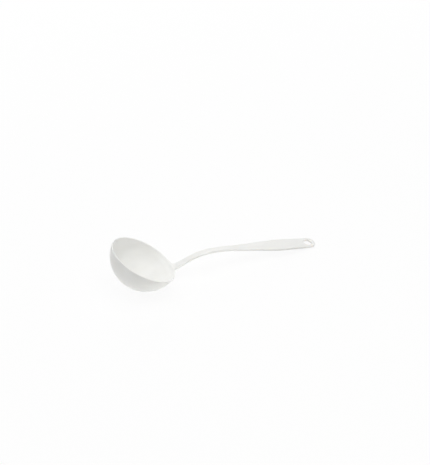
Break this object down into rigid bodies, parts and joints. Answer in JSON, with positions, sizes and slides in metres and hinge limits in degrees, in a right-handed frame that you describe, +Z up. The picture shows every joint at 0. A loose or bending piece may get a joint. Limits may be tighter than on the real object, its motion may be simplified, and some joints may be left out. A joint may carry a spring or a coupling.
{
  "type": "ladle",
  "caption": "White plastic kitchen ladle with a round bowl and a bent strap handle that widens to a flat grip with a hanging eyelet.",
  "frame": {"origin": "on the table under the middle of the ladle's box, as it lies on its bowl and the end of its handle", "axes": "+X along the ladle from the bowl to the handle's end, +Y to its left, +Z up from the table"},
  "size_m": [0.2822, 0.0898, 0.064],
  "materials": {
    "white_plastic": "moulded white plastic with a soft gloss"
  },
  "bodies": {
    "root": {"bowl": "white_plastic", "handle": "white_plastic"}
  },
  "joints": []
}
